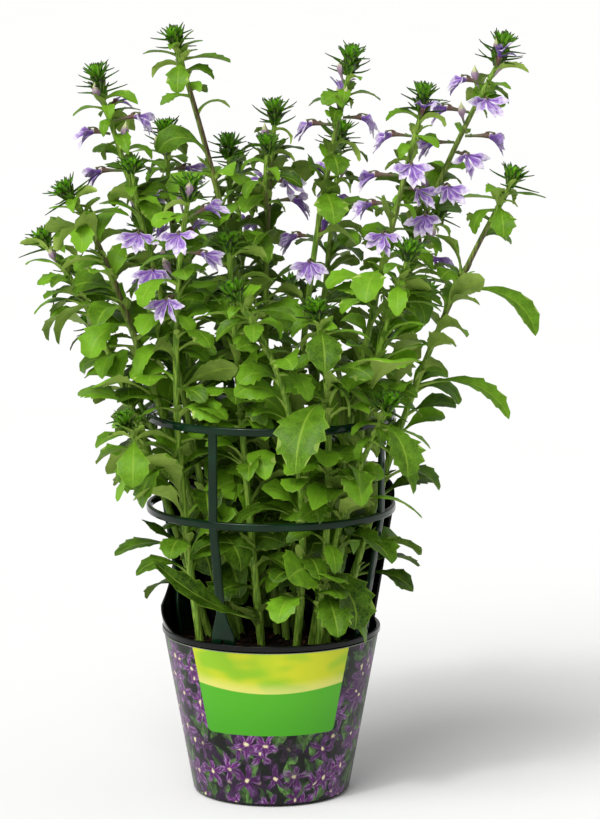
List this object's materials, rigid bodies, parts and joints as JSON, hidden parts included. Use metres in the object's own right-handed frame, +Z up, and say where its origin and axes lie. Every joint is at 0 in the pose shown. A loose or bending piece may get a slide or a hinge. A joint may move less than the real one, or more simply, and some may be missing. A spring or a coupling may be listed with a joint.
{
  "type": "potted fan flower",
  "caption": "Leafy violet-blooming bedding plant in a tapered printed plastic pot, held by a moulded cage of rings on posts.",
  "frame": {"origin": "centre of the flat foot of the pot", "axes": "+Z up along the pot's axis, -Y the front with the printed panel, +X to the right seen from the front"},
  "size_m": [0.283, 0.2168, 0.4255],
  "materials": {
    "pot_plastic": "moulded black polypropylene",
    "printed_film": null,
    "potting_soil": "loose peat and bark",
    "cage_plastic": "moulded dark green polypropylene",
    "green_growth": "fresh leaves and stems",
    "petals": "soft petals"
  },
  "bodies": {
    "root": {"pot": "pot_plastic", "printed_wrap": "printed_film", "soil": "potting_soil", "support_cage": "cage_plastic", "stem_back_left": "green_growth", "stem_back_middle": "green_growth", "stem_back_right": "green_growth", "stem_back_tall": "green_growth", "stem_centre": "green_growth", "stem_dark_left": "green_growth", "stem_far_left": "green_growth", "stem_front_bright": "green_growth", "stem_front_centre": "green_growth", "stem_front_inner": "green_growth", "stem_front_left": "green_growth", "stem_front_right": "green_growth", "stem_low_right": "green_growth", "stem_middle_left": "green_growth", "stem_outer_left": "green_growth", "stem_outer_right": "green_growth", "stem_tall_centre": "green_growth", "stem_tall_left": "green_growth", "stem_tall_right": "green_growth", "stem_upper_left": "green_growth", "stem_upper_right": "green_growth", "bloom_back_left_1": "petals", "bloom_back_middle_1": "petals", "bloom_back_right_1": "petals", "bloom_back_tall_1": "petals", "bloom_centre_1": "petals", "bloom_centre_2": "petals", "bloom_dark_left_1": "petals", "bloom_dark_left_2": "petals", "bloom_front_left_1": "petals", "bloom_front_left_2": "petals", "bloom_front_left_3": "petals", "bloom_front_left_4": "petals", "bloom_tall_centre_1": "petals", "bloom_tall_centre_2": "petals", "bloom_tall_centre_3": "petals", "bloom_tall_centre_4": "petals", "bloom_tall_right_1": "petals", "bloom_tall_right_2": "petals", "bloom_tall_right_3": "petals", "bloom_tall_right_4": "petals", "bloom_tall_right_5": "petals", "bloom_tall_right_6": "petals", "bloom_tall_right_7": "petals", "bloom_tall_right_8": "petals", "bloom_upper_left_1": "petals", "bloom_upper_left_2": "petals", "bloom_upper_left_3": "petals", "bloom_upper_left_4": "petals", "bloom_upper_left_5": "petals", "bloom_upper_right_1": "petals", "bloom_upper_right_2": "petals", "bloom_upper_right_3": "petals", "bloom_upper_right_4": "petals", "bloom_upper_right_5": "petals", "bloom_upper_right_6": "petals"}
  },
  "joints": []
}
